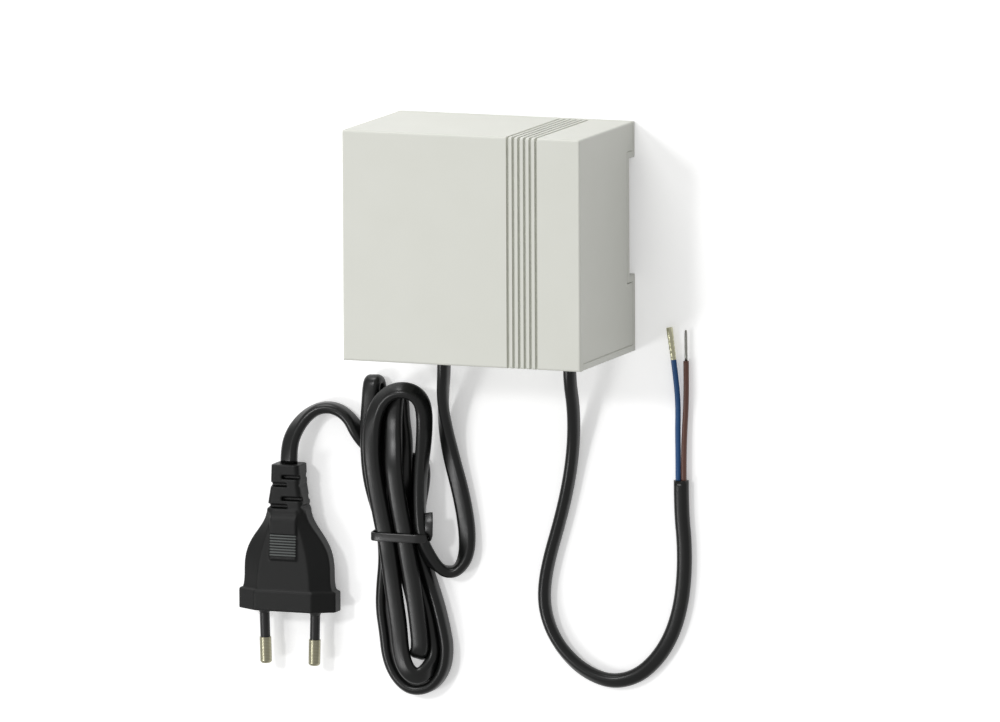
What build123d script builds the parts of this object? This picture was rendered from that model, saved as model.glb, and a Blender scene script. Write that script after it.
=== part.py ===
from build123d import *
import os
from math import pi, radians, tan

# Compact transformer: a moulded box with a flat two-core mains lead, which is tied in a
# hank and ends in a flat two-pin plug, and a round output cable with two bare wire ends.
# All sizes are in millimetres. The box lies on its mounting face: the origin is the
# centre of that face, +X runs to the right of the front, +Y to its top and +Z out of the
# back and up through the front. The cords leave at the bottom edge and lie on z = 0.

# Housing
width = 85.0
height = 78.0
depth = 53.0
cover_wall = 2.4
base_wall = 2.5
bottom_wall = 2.4
cover_edge_radius = 0.7
base_edge_chamfer = 0.3
shut_gap = 0.15

# Groove band on the cover
groove_count = 6
groove_pitch = 2.02
groove_width = 1.0
groove_depth = 1.0
groove_band_x = 21.75

# Rail foot in the back
channel_depth = 5.2
channel_height = 39.6
upper_pad_height = 12.2
rail_height = 35.0
rail_flange = 1.0
rail_play = 0.3
hook_reach = 2.3
hook_thickness = 2.3
hook_width = 9.0
hook_spacing = 48.0
tongue_width = 14.0
tongue_thickness = 2.0
tongue_root_room = 6.2
tongue_slot = 0.9
tongue_grip = 1.6

# Self-tapping screws that hold the cover and the clamps
screw_thread = 2.6
screw_head = 5.0
screw_head_height = 1.8
cover_screw_length = 12.0
clamp_screw_length = 9.0
screw_hole_play = 0.3
pilot_play = 0.1
pilot_spare = 1.0
recess_width = 0.7
recess_length = 2.8
recess_depth = 1.0

# Bosses of the base and posts of the cover
boss_diameter = 6.8
boss_height = 6.0
boss_head_depth = 2.4
boss_head_play = 0.4
boss_wall_gap = 0.25
lower_boss_rise = 5.6
web_foot = 18.0
rib_thickness = 1.2
rib_height = 2.0
rib_gap = 0.2

# Laminated core: E sheets with their closing bars, as large as the box has room for
core_top_room = 9.5
core_bottom_room = 23.5
core_stack = 18.8
core_hole = 3.6
core_screw_thread = 3.0
core_screw_head = 5.6
core_screw_head_height = 2.2
pillar_diameter = 7.0
pillar_solid = 2.6
coil_floor_gap = 1.2
coil_front_gap = 5.7

# Bobbin and windings
bobbin_wall = 1.0
bobbin_play = 0.2
flange_thickness = 1.2
flange_gap = 0.3
winding_below_flange = 0.9
winding_corner = 4.0
tape_thickness = 0.4
strip_length = 6.2
pin_square = 0.8
pin_embedded = 4.0
pin_exposed = 4.0
pin_spacing = 6.0
pin_edge = 4.7
pin_inset = 3.1
fuse_diameter = 4.0
fuse_length = 10.0
fuse_lead_diameter = 0.8
fuse_lead_length = 2.6

# Cords
flat_cord_width = 6.2
flat_cord_thickness = 3.8
round_cable = 4.6
core_wire = 1.9
mains_exit_inset = 20.9
output_exit_inset = 18.9
exit_height = 13.0
tail_inner_end = 14.8
wire_bend_y = 4.4
wire_over_pin = 2.1
wire_gap = 0.1

# Grommets in the bottom wall
grommet_wall = 1.2
grommet_lip = 1.4
grommet_lip_thickness = 1.5

# Cord clamps
clamp_length = 18.0
clamp_width = 6.0
clamp_top = 2.6
clamp_gap = 0.3
clamp_cord_play = 0.1
clamp_screw_offset = 6.2
clamp_inset = 8.0
clamp_block_width = 7.0

# Tie round the hank
hank_height = 13.0
hank_edge_radius = 2.0
stub_length = 7.0
tie_y = -105.3
tie_width = 3.0
tie_thickness = 0.8
tie_left = -49.6
tie_right = -34.0
tie_head_width = 2.6
tie_head_seat = 0.3
tie_head_length = 6.6
tie_head_height = 3.6

# Flat plug, seen in the photograph with its pins towards -Y
plug_x = -80.6
plug_z = 6.85
plug_top_y = -82.6
relief_length = 15.4
relief_top_width = 12.7
relief_foot_width = 14.2
relief_thickness = 9.4
relief_corner = 1.8
relief_notch = 1.9
relief_notch_offset = 0.3
slot_height = 1.4
slot_depth = 1.9
slot_overlap = 1.2
first_slot = 4.2
slot_step = 2.7
slot_pair_pitch = 7.4
plug_body_length = 27.6
flange_length = 7.2
plug_flange_width = 35.3
plug_flange_thickness = 13.7
plug_flange_flat = 21.0
plug_flange_end = 5.2
plug_edge_radius = 0.8
plug_stations = (
    (0.0, 7.3, 5.0, 4.6, 2.8),
    (0.19, 8.95, 5.3, 5.4, 2.8),
    (0.38, 12.7, 5.6, 6.9, 2.6),
    (0.61, 15.3, 5.9, 8.5, 2.5),
    (1.0, 16.4, 6.2, 9.6, 2.5),
)
thumb_pad_width = 9.5
thumb_pad_start = 1.0
thumb_lip_length = 5.0
thumb_lip_height = 1.5
thumb_lip_ramp = 2.2
thumb_step = 0.6
thumb_pad_length = 9.6
thumb_pad_end = 0.8
thumb_rib_start = 10.2
thumb_rib_count = 7
thumb_rib_pitch = 1.05
thumb_rib_width = 0.5
thumb_rib_height = 0.4
pin_diameter = 4.0
pin_length = 19.0
pin_base_spacing = 18.6
pin_tip_spacing = 17.6
pin_stem = 2.4
sleeve_diameter = 3.4
sleeve_length = 10.0
sleeve_root_diameter = 4.6
sleeve_root_length = 1.6

# Ends of the output wires
ferrule_diameter = 2.1
ferrule_length = 11.0
ferrule_crimps = 4
ferrule_crimp_pitch = 1.7
ferrule_crimp_width = 0.7
ferrule_crimp_depth = 0.2
brown_pin_diameter = 1.0
brown_pin_length = 10.6

# The flat cord is drawn as a round tube with the same section area
flat_end_area = pi * flat_cord_thickness ** 2 / 4
flat_cord_area = flat_end_area + flat_cord_thickness * (flat_cord_width - flat_cord_thickness)
mains_tube = 2 * (flat_cord_area / pi) ** 0.5

# Levels and places that follow from the sizes above
half_width = width / 2
top_y = height / 2
bottom_y = -height / 2
channel_top = top_y - upper_pad_height
channel_bottom = channel_top - channel_height
floor_z = channel_depth + base_wall
front_inside = depth - cover_wall
side_inside = half_width - cover_wall
bottom_inside = bottom_y + bottom_wall
boss_x = side_inside - boss_wall_gap - boss_diameter / 2
upper_boss_y = (channel_top + base_wall + top_y - cover_wall) / 2
lower_boss_y = bottom_inside + lower_boss_rise
boss_places = [(side * boss_x, y) for side in (-1, 1) for y in (lower_boss_y, upper_boss_y)]
grommet_face_y = bottom_y - grommet_lip_thickness
tail_end_y = bottom_y + tail_inner_end

mains_exit_x = mains_exit_inset - half_width
output_exit_x = half_width - output_exit_inset

# The sheets are cut without waste: a yoke, an outer leg and a window are half a middle leg
# wide, so a sheet is three middle legs wide and two and a half high, with its closing bar
core_height = height - core_top_room - core_bottom_room
core_centre_y = (bottom_y + core_bottom_room + top_y - core_top_room) / 2
core_leg = core_height / 2.5
core_width = 3 * core_leg
yoke = core_leg / 2
window_width = core_leg / 2
window_length = core_height - 2 * yoke
core_hole_inset = yoke / 2
flange_half_z = (front_inside - coil_front_gap - floor_z - coil_floor_gap) / 2
core_z = floor_z + coil_floor_gap + flange_half_z
core_bottom = core_z - core_stack / 2
core_top = core_z + core_stack / 2
core_screw_length = core_top - floor_z - pillar_solid
hole_x = core_width / 2 - core_hole_inset
hole_y = core_height / 2 - core_hole_inset
core_hole_places = [(sx * hole_x, core_centre_y + sy * hole_y) for sx in (-1, 1) for sy in (-1, 1)]

tube_half_x = core_leg / 2 + bobbin_play + bobbin_wall
tube_half_z = core_stack / 2 + bobbin_play + bobbin_wall
flange_half_x = core_leg / 2 + window_width - flange_gap
bobbin_half_y = window_length / 2 - bobbin_play
winding_half_x = flange_half_x - winding_below_flange
winding_half_z = flange_half_z - winding_below_flange
chamber_start = bobbin_half_y - flange_thickness
strip_start_y = core_centre_y - bobbin_half_y + flange_thickness - strip_length
pin_y = strip_start_y + pin_inset
pin_top = core_z + flange_half_z + pin_exposed
pin_offset_x = flange_half_x - pin_edge - pin_spacing / 2
pin_xs = [side * pin_offset_x + step * pin_spacing / 2 for side in (-1, 1) for step in (-1, 1)]

# Routes of the cords: points chosen by hand, from the box outwards
mains_route = [
    (mains_exit_x, grommet_face_y, exit_height),
    (mains_exit_x, -47.5, exit_height),
    (-23.6, -56.5, 9.2),
    (-24.4, -66.5, 5.4),
    (-22.9, -78.0, 3.3),
    (-19.4, -91.0, 2.8),
    (-17.4, -104.0, 2.7),
    (-18.0, -113.5, 2.7),
    (-22.4, -119.4, 3.1),
    (-27.6, -116.8, 4.6),
    (-30.6, -113.6, 6.4),
]
plug_route = [
    (-56.5, -71.2, 3.0),
    (-60.0, -66.2, 2.8),
    (-65.0, -63.2, 3.0),
    (-70.6, -63.4, 3.7),
    (-75.4, -66.6, 4.8),
    (-79.1, -71.9, 6.0),
    (plug_x, -77.5, plug_z),
    (plug_x, plug_top_y, plug_z),
]
output_route = [
    (output_exit_x, grommet_face_y, exit_height),
    (output_exit_x, -48.0, exit_height),
    (23.4, -57.5, 8.9),
    (22.2, -67.5, 4.9),
    (20.6, -78.0, 3.0),
    (18.4, -89.0, 2.5),
    (15.5, -100.0, 2.4),
    (12.6, -109.5, 2.4),
    (10.5, -119.0, 2.4),
    (10.3, -127.5, 2.4),
    (12.8, -135.8, 2.4),
    (17.6, -143.1, 2.4),
    (25.0, -149.2, 2.4),
    (34.3, -152.3, 2.4),
    (43.3, -150.1, 2.4),
    (50.3, -144.2, 2.4),
    (55.7, -136.0, 2.4),
    (59.1, -126.0, 2.4),
    (60.6, -114.8, 2.4),
    (60.7, -103.5, 2.4),
    (59.6, -92.5, 2.4),
    (59.6, -82.0, 2.4),
]
blue_route = [
    (58.6, -82.0, 2.4),
    (58.6, -73.6, 2.4),
    (58.4, -65.3, 2.2),
    (58.6, -57.0, 2.0),
    (58.1, -49.0, 1.9),
    (57.0, -41.2, 1.8),
]
brown_route = [
    (60.6, -82.0, 2.4),
    (60.6, -73.4, 2.4),
    (60.8, -65.2, 2.1),
    (61.3, -57.0, 2.0),
    (61.4, -48.8, 1.9),
    (61.3, -41.4, 1.8),
]

# Outline of the hank, anticlockwise from the tie on its right
hank_outline = [
    (-34.0, -103.0),
    (-33.9, -96.0),
    (-32.0, -84.0),
    (-30.4, -73.0),
    (-29.2, -63.5),
    (-33.0, -55.5),
    (-40.3, -52.4),
    (-49.4, -50.4),
    (-53.4, -56.0),
    (-54.2, -66.0),
    (-52.8, -78.0),
    (-51.0, -90.0),
    (-50.4, -103.0),
    (-50.0, -113.0),
    (-49.3, -128.0),
    (-48.4, -142.0),
    (-44.5, -154.5),
    (-35.0, -160.0),
    (-26.0, -156.5),
    (-21.9, -146.5),
    (-24.2, -135.0),
    (-28.5, -124.5),
    (-32.6, -116.5),
    (-33.8, -110.0),
]


def block(x0, x1, y0, y1, z0, z1):
    """Box between two corners."""
    centre = Pos((x0 + x1) / 2, (y0 + y1) / 2, (z0 + z1) / 2)
    return centre * Box(abs(x1 - x0), abs(y1 - y0), abs(z1 - z0))


def rod(start, direction, diameter, length):
    """Round bar from a point along a direction."""
    return Solid.make_cylinder(diameter / 2, length, Plane(origin=start, z_dir=direction))


def side_prism(points, x0, x1):
    """Prism along X whose section is given as (y, z) points."""
    section = Plane.YZ * make_face(Polyline(*points, close=True))
    return Pos(x0, 0, 0) * extrude(section, amount=x1 - x0)


def cord_section(wide, thick):
    """Section of a cord, flat or round, wide along X and thick along Z."""
    if wide == thick:
        return Circle(wide / 2)
    turn = 0 if wide > thick else 90
    return SlotOverall(max(wide, thick), min(wide, thick), rotation=turn)


def obround_bar(x, y0, y1, z, wide, thick):
    """Bar along Y with a cord's section."""
    section = cord_section(wide, thick)
    plane = Plane(origin=(x, y0, z), x_dir=(1, 0, 0), z_dir=(0, 1, 0))
    return extrude(plane * section, amount=y1 - y0)


def run_direction(start, end):
    """Unit vector from one point to the next."""
    return (Vector(*end) - Vector(*start)).normalized()


def bend_radii(points):
    """Largest tangent arc at each corner of a route."""
    radii = []
    for before, corner, after in zip(points, points[1:], points[2:]):
        first = Vector(*corner) - Vector(*before)
        second = Vector(*after) - Vector(*corner)
        half_turn = radians(first.get_angle(second)) / 2
        radii.append(0.45 * min(first.length, second.length) / tan(half_turn))
    return radii


def tube(name, points, diameter):
    """Round cord of straight runs and tangent arcs."""
    radii = bend_radii(points)
    path = FilletPolyline(*points, radius=radii)
    plane = Plane(origin=path @ 0, z_dir=path % 0)
    solid = sweep(plane * Circle(diameter / 2), path=path)
    share = solid.volume / (pi * diameter ** 2 / 4 * path.length)
    print(name, "length", round(path.length, 1), "volume share", round(share, 4))
    print("  radii", [round(radius, 1) for radius in radii])
    return solid


def screw(thread, head, head_height, length):
    """Pan-head screw with a cross recess; its head stands on z = 0."""
    shank = Pos(0, 0, -length / 2) * Cylinder(thread / 2, length)
    shank = chamfer(shank.edges().sort_by(Axis.Z)[0], thread / 5)
    cap = Pos(0, 0, head_height / 2) * Cylinder(head / 2, head_height)
    cap = chamfer(cap.edges().sort_by(Axis.Z)[-1], head_height / 3, head_height / 2)
    cross = Box(recess_length, recess_width, recess_depth) + Box(recess_width, recess_length, recess_depth)
    return shank + cap - Pos(0, 0, head_height - recess_depth / 2) * cross


def base_section():
    """Outline of the base from the side: bottom wall, pads and rail channel."""
    return [
        (bottom_y, 0),
        (channel_bottom, 0),
        (channel_bottom, channel_depth),
        (channel_top, channel_depth),
        (channel_top, 0),
        (top_y, 0),
        (top_y, base_wall),
        (channel_top + base_wall, base_wall),
        (channel_top + base_wall, floor_z),
        (channel_bottom - base_wall, floor_z),
        (channel_bottom - base_wall, base_wall),
        (bottom_inside, base_wall),
        (bottom_inside, front_inside - shut_gap),
        (bottom_y, front_inside - shut_gap),
    ]


def cover_section():
    """Outline of the cover from the side, clear of the base by the shut gap."""
    return [
        (bottom_y, front_inside),
        (bottom_y, depth),
        (top_y, depth),
        (top_y, base_wall + shut_gap),
        (channel_top + base_wall + shut_gap, base_wall + shut_gap),
        (channel_top + base_wall + shut_gap, floor_z + shut_gap),
        (channel_bottom - base_wall - shut_gap, floor_z + shut_gap),
        (channel_bottom - base_wall - shut_gap, base_wall + shut_gap),
        (bottom_inside + shut_gap, base_wall + shut_gap),
        (bottom_inside + shut_gap, front_inside),
    ]


def core_pillars(base):
    """Adds the four pillars that carry the core, which stay out of the rail channel."""
    foot = base_wall / 2
    for x, y in core_hole_places:
        base += Pos(x, y, (foot + core_bottom) / 2) * Cylinder(pillar_diameter / 2, core_bottom - foot)
    return base - block(-half_width, half_width, channel_bottom, channel_top, -1, channel_depth)


def rail_foot(base):
    """Adds the two hooks and cuts the spring tongue that grips the rail."""
    hook_z = channel_depth - rail_flange - rail_play
    lead_in = hook_thickness / 2
    hook = [
        (channel_top + base_wall, hook_z),
        (channel_top - hook_reach, hook_z),
        (channel_top - hook_reach, hook_z - lead_in),
        (channel_top - hook_reach + lead_in, hook_z - hook_thickness),
        (channel_top + base_wall, hook_z - hook_thickness),
    ]
    for side in (-1, 1):
        middle = side * hook_spacing / 2
        base += side_prism(hook, middle - hook_width / 2, middle + hook_width / 2)

    rail_bottom = channel_top - rail_play - rail_height
    nose_y = rail_bottom + tongue_grip
    root_y = bottom_y + tongue_root_room
    gate = tongue_width / 2 + tongue_slot
    base -= block(-gate, gate, root_y, channel_bottom, -1, hook_z + tongue_slot)
    tongue = [
        (root_y - tongue_slot, 0),
        (nose_y - hook_thickness, 0),
        (nose_y, hook_thickness),
        (nose_y, hook_z),
        (channel_bottom - rail_play, hook_z),
        (channel_bottom - 2 * base_wall, tongue_thickness),
        (root_y - tongue_slot, tongue_thickness),
    ]
    return base + side_prism(tongue, -tongue_width / 2, tongue_width / 2)


def clamp_block(x, cord_thickness):
    """Block of the base that a cord lies on, with the clamp's pilot holes."""
    y0 = bottom_y + clamp_inset - (clamp_block_width - clamp_width) / 2
    top = exit_height - cord_thickness / 2
    solid = block(x - clamp_length / 2, x + clamp_length / 2, y0, y0 + clamp_block_width, base_wall, top)
    core = block(
        x - clamp_screw_offset + screw_thread,
        x + clamp_screw_offset - screw_thread,
        y0 + rib_thickness,
        y0 + clamp_block_width - rib_thickness,
        -1,
        top - base_wall,
    )
    return solid, core


def clamp_screw_places(x, cord_thickness):
    """Seats of the two screw heads on one clamp."""
    y = bottom_y + clamp_inset + clamp_width / 2
    z = exit_height + cord_thickness / 2 + clamp_top
    return [Pos(x + side * clamp_screw_offset, y, z) for side in (-1, 1)]


def cord_exits():
    """Place and section of both cords where they leave the box; the flat one stands on edge."""
    return [
        (mains_exit_x, flat_cord_thickness, flat_cord_width),
        (output_exit_x, round_cable, round_cable),
    ]


def housing_base():
    """Back and bottom walls in one moulding."""
    base = side_prism(base_section(), -half_width, half_width)
    base = chamfer(base.faces().sort_by(Axis.X)[-1].edges(), base_edge_chamfer)
    base = chamfer(base.faces().sort_by(Axis.X)[0].edges(), base_edge_chamfer)
    base = rail_foot(core_pillars(base))

    rib_outside = side_inside - rib_gap
    rib_top = bottom_inside + rib_height
    for side in (-1, 1):
        x0 = side * rib_outside
        x1 = side * (rib_outside - rib_thickness)
        base += block(x0, x1, bottom_inside, rib_top, base_wall, front_inside - rib_gap)
    front_rib = front_inside - rib_gap
    base += block(-rib_outside, rib_outside, bottom_inside, rib_top, front_rib - rib_thickness, front_rib)

    boss = Cylinder(boss_diameter / 2, boss_height - base_wall)
    for x, y in boss_places:
        base += Pos(x, y, (base_wall + boss_height) / 2) * boss
    for x, y in boss_places:
        base -= Pos(x, y, boss_height / 2) * Cylinder((screw_thread + screw_hole_play) / 2, 2 * boss_height)
        base -= Pos(x, y, 0) * Cylinder((screw_head + boss_head_play) / 2, 2 * boss_head_depth)

    thread_depth = core_bottom - floor_z - pillar_solid + pilot_spare
    for x, y in core_hole_places:
        hole = Cylinder((core_screw_thread + pilot_play) / 2, 2 * thread_depth)
        base -= Pos(x, y, core_bottom) * hole

    for x, wide, thick in cord_exits():
        solid, core = clamp_block(x, thick)
        base = base + solid - core
        for seat in clamp_screw_places(x, thick):
            base -= seat * Cylinder((screw_thread + pilot_play) / 2, 2 * (clamp_screw_length + pilot_spare))
        hole_wide = wide + 2 * grommet_wall
        hole_thick = thick + 2 * grommet_wall
        base -= obround_bar(x, bottom_y - 1, bottom_inside + 1, exit_height, hole_wide, hole_thick)
    return base


def housing_cover():
    """Front, top and side walls in one moulding, with four screw posts."""
    cover = side_prism(cover_section(), -half_width, half_width)
    front = cover.faces().sort_by(Axis.Z)[-1]
    corner_edges = cover.faces().sort_by(Axis.Y)[-1].edges().filter_by(Axis.Z)
    cover = fillet(front.edges() + corner_edges, cover_edge_radius)
    cavity_bottom = bottom_inside + shut_gap
    cover -= block(-side_inside, side_inside, cavity_bottom, top_y - cover_wall, -1, front_inside)

    for x, y in boss_places:
        side = 1 if x > 0 else -1
        post_height = front_inside - boss_height
        post = Cylinder(boss_diameter / 2, post_height)
        cover += Pos(x, y, boss_height + post_height / 2) * post
        web_end = side * (side_inside + cover_wall / 2)
        web_top = front_inside + cover_wall / 2
        cover += block(x, web_end, y - rib_thickness / 2, y + rib_thickness / 2, web_foot, web_top)
    for x, y in boss_places:
        pilot_depth = cover_screw_length - boss_height + boss_head_depth + pilot_spare
        pilot = Cylinder((screw_thread + pilot_play) / 2, 2 * pilot_depth)
        cover -= Pos(x, y, boss_height) * pilot

    for index in range(groove_count):
        x = groove_band_x + (index - (groove_count - 1) / 2) * groove_pitch
        x0 = x - groove_width / 2
        x1 = x + groove_width / 2
        cover -= block(x0, x1, bottom_y - 1, top_y + 1, depth - groove_depth, depth + 1)
        cover -= block(x0, x1, top_y - groove_depth, top_y + 1, 0, depth + 1)
    return cover


def grommet(x, wide, thick):
    """Bush with a lip on each side of the bottom wall."""
    bush_wide = wide + 2 * grommet_wall
    bush_thick = thick + 2 * grommet_wall
    lip_wide = bush_wide + 2 * grommet_lip
    lip_thick = bush_thick + 2 * grommet_lip
    solid = obround_bar(x, grommet_face_y, bottom_inside + grommet_lip_thickness, exit_height,
                        bush_wide, bush_thick)
    solid += obround_bar(x, grommet_face_y, bottom_y, exit_height, lip_wide, lip_thick)
    solid += obround_bar(x, bottom_inside, bottom_inside + grommet_lip_thickness, exit_height,
                         lip_wide, lip_thick)
    return solid - obround_bar(x, grommet_face_y - 1, bottom_inside + 5, exit_height, wide, thick)


def cord_tail(x, wide, thick):
    """The cord from the outside of its grommet to the end of its jacket."""
    return obround_bar(x, grommet_face_y, tail_end_y, exit_height, wide, thick)


def clamp_bar(x, wide, thick):
    """Bar that presses a cord on its block."""
    y0 = bottom_y + clamp_inset
    y1 = y0 + clamp_width
    z0 = exit_height - thick / 2 + clamp_gap
    z1 = exit_height + thick / 2 + clamp_top
    bar = block(x - clamp_length / 2, x + clamp_length / 2, y0, y1, z0, z1)
    bar = chamfer(bar.faces().sort_by(Axis.Z)[-1].edges(), clamp_top / 5)
    half_slot = wide / 2 + clamp_cord_play
    bar -= block(x - half_slot, x + half_slot, y0 - 1, y1 + 1, z0 - 1, exit_height)
    bar -= obround_bar(x, y0 - 1, y1 + 1, exit_height, wide + 2 * clamp_cord_play, thick)
    for seat in clamp_screw_places(x, thick):
        bar -= seat * Cylinder((screw_thread + screw_hole_play) / 2, 4 * clamp_screw_length)
    return bar


def core_e_stack():
    """Stack of E sheets: yoke, two outer legs and the wide middle leg."""
    half = core_width / 2
    low = core_centre_y - core_height / 2
    high = core_centre_y + core_height / 2 - yoke
    stack = block(-half, half, low, high, core_bottom, core_top)
    for side in (-1, 1):
        x0 = side * core_leg / 2
        x1 = side * (core_leg / 2 + window_width)
        stack -= block(x0, x1, low + yoke, high + 1, core_bottom - 1, core_top + 1)
    return drill_core(stack)


def core_i_stack():
    """Stack of bars that closes the E sheets."""
    half = core_width / 2
    high = core_centre_y + core_height / 2
    return drill_core(block(-half, half, high - yoke, high, core_bottom, core_top))


def drill_core(stack):
    """Screw holes in the corners of the core."""
    for x, y in core_hole_places:
        stack -= Pos(x, y, core_z) * Cylinder(core_hole / 2, 2 * core_stack)
    return stack


def coil_ring(y0, y1, half_x, half_z, corner, hole_x_half, hole_z_half, hole_corner):
    """Rounded rectangular ring round the middle leg; its hole may have square corners."""
    plane = Plane(origin=(0, y0, core_z), x_dir=(1, 0, 0), z_dir=(0, 1, 0))
    outside = RectangleRounded(2 * half_x, 2 * half_z, corner)
    inside = Rectangle(2 * hole_x_half, 2 * hole_z_half)
    if hole_corner > 0:
        inside = RectangleRounded(2 * hole_x_half, 2 * hole_z_half, hole_corner)
    return extrude(plane * (outside - inside), amount=y1 - y0)


def chambers():
    """Start and end of the primary and the secondary chamber along Y."""
    divider = flange_thickness / 2
    lower = (core_centre_y - chamber_start, core_centre_y - divider)
    upper = (core_centre_y + divider, core_centre_y + chamber_start)
    return lower, upper


def coil_bobbin():
    """Two-chamber bobbin with a terminal strip over the yoke."""
    low = core_centre_y - bobbin_half_y
    high = core_centre_y + bobbin_half_y
    leg_x = tube_half_x - bobbin_wall
    leg_z = tube_half_z - bobbin_wall
    bobbin = coil_ring(low, high, tube_half_x, tube_half_z, bobbin_wall / 2, leg_x, leg_z, 0)
    flange_starts = (low, core_centre_y - flange_thickness / 2, high - flange_thickness)
    for start in flange_starts:
        end = start + flange_thickness
        bobbin += coil_ring(start, end, flange_half_x, flange_half_z, flange_thickness, leg_x, leg_z, 0)
    strip_bottom = core_top + flange_gap
    strip_top = core_z + flange_half_z
    strip_end = low + flange_thickness
    bobbin += block(-flange_half_x, flange_half_x, strip_start_y, strip_end, strip_bottom, strip_top)
    notch_half = pin_offset_x - pin_spacing / 2 - 2 * pin_square
    notch_floor = (strip_bottom + strip_top) / 2
    bobbin -= block(-notch_half, notch_half, strip_start_y - 1, low, notch_floor, strip_top + 1)
    half = pin_square / 2
    hole_foot = strip_top - pin_embedded
    for x in pin_xs:
        bobbin -= block(x - half, x + half, pin_y - half, pin_y + half, hole_foot, strip_top + 1)
    return bobbin


def bobbin_pins():
    """Four square solder pins."""
    half = pin_square / 2
    foot = core_z + flange_half_z - pin_embedded
    return [block(x - half, x + half, pin_y - half, pin_y + half, foot, pin_top) for x in pin_xs]


def winding(chamber):
    """Layered copper wire as one ring."""
    y0, y1 = chamber
    return coil_ring(y0, y1, winding_half_x, winding_half_z, winding_corner, tube_half_x, tube_half_z, 0)


def winding_tape(chamber):
    """Insulating tape over a winding."""
    y0, y1 = chamber
    outer_x = winding_half_x + tape_thickness
    outer_z = winding_half_z + tape_thickness
    corner = winding_corner + tape_thickness
    return coil_ring(y0, y1, outer_x, outer_z, corner, winding_half_x, winding_half_z, winding_corner)


def thermal_fuse(chamber):
    """Axial fuse that lies across the primary winding."""
    y = sum(chamber) / 2
    z = core_z + winding_half_z + tape_thickness + fuse_diameter / 2
    body = Pos(0, y, z) * Rot(0, 90, 0) * Cylinder(fuse_diameter / 2, fuse_length)
    body = chamfer(body.edges().filter_by(GeomType.CIRCLE), fuse_diameter / 8)
    lead_total = fuse_length + 2 * fuse_lead_length
    lead = rod((-lead_total / 2, y, z), (1, 0, 0), fuse_lead_diameter, lead_total)
    return body + lead


def inner_wire(name, start_x, start_z, bend_y, pin_x):
    """Insulated core from the end of a jacket to its solder pin."""
    z = core_z + flange_half_z + wire_over_pin
    route = [
        (start_x, tail_end_y, start_z),
        (start_x, bend_y, start_z),
        (pin_x, bend_y, z),
        (pin_x, pin_y - pin_square / 2, z),
    ]
    return tube(name, route, core_wire)


def cord_hank():
    """Outer shape of the tied hank, with a stub towards each lead."""
    outline = Spline(*hank_outline, periodic=True)
    hank = extrude(make_face(outline), amount=hank_height)
    hank = fillet(hank.edges().group_by(Axis.Z)[-1], hank_edge_radius)
    low = tie_y - tie_width / 2
    high = tie_y + tie_width / 2
    band = block(tie_left - 10, tie_right + 10, low, high, -1, hank_height + 1)
    waist = block(tie_left, tie_right, low, high, tie_thickness, hank_height - tie_thickness)
    hank -= band - waist
    mains_direction = run_direction(mains_route[-2], mains_route[-1])
    hank += rod(mains_route[-1], mains_direction, mains_tube, stub_length)
    plug_direction = run_direction(plug_route[1], plug_route[0])
    hank += rod(plug_route[0], plug_direction, mains_tube, stub_length)
    return hank


def hank_tie():
    """Strap round the hank with its twisted head on the right."""
    low = tie_y - tie_width / 2
    high = tie_y + tie_width / 2
    left = tie_left - tie_thickness
    right = tie_right + tie_thickness
    ring = block(left, right, low, high, 0, hank_height)
    ring = fillet(ring.edges().filter_by(Axis.Y), tie_thickness)
    ring -= block(tie_left, tie_right, low - 1, high + 1, tie_thickness, hank_height - tie_thickness)
    head_z = hank_height / 2
    head = block(
        right - tie_head_seat,
        right - tie_head_seat + tie_head_width,
        low,
        high + tie_head_length,
        head_z,
        head_z + tie_head_height,
    )
    return ring + fillet(head.edges().filter_by(Axis.Y), tie_thickness)


def hexagon_section(y, half_width_here, half_thickness, half_flat, half_end):
    """Flat hexagon with rounded corners, across the plug."""
    points = [
        (-half_width_here, -half_end),
        (-half_flat, -half_thickness),
        (half_flat, -half_thickness),
        (half_width_here, -half_end),
        (half_width_here, half_end),
        (half_flat, half_thickness),
        (-half_flat, half_thickness),
        (-half_width_here, half_end),
    ]
    face = make_face(Polyline(*points, close=True))
    face = fillet(face.vertices(), plug_edge_radius)
    return Plane(origin=(plug_x, y, plug_z), x_dir=(1, 0, 0), z_dir=(0, 1, 0)) * face


def strain_relief():
    """Slotted sleeve that is moulded with the plug."""
    foot_y = plug_top_y - relief_length
    faces = []
    for y, wide in ((plug_top_y, relief_top_width), (foot_y - 1, relief_foot_width)):
        plane = Plane(origin=(plug_x, y, plug_z), x_dir=(1, 0, 0), z_dir=(0, 1, 0))
        faces.append(plane * RectangleRounded(wide, relief_thickness, relief_corner))
    relief = loft(faces)
    for pair in range(2):
        right_y = plug_top_y - first_slot - pair * slot_pair_pitch
        left_y = right_y - slot_step
        for side, y in ((1, right_y), (-1, left_y)):
            x0 = plug_x - side * slot_overlap
            x1 = plug_x + side * relief_foot_width
            for face_side in (-1, 1):
                z0 = plug_z + face_side * (relief_thickness / 2 - slot_depth)
                z1 = plug_z + face_side * relief_thickness
                relief -= block(x0, x1, y - slot_height / 2, y + slot_height / 2, z0, z1)
            notch_x = plug_x + side * (relief_foot_width / 2 + relief_notch_offset)
            notch = Pos(notch_x, left_y, plug_z) * Rot(0, 0, 45)
            relief -= notch * Box(relief_notch, relief_notch, 2 * relief_thickness)
    return relief


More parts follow.
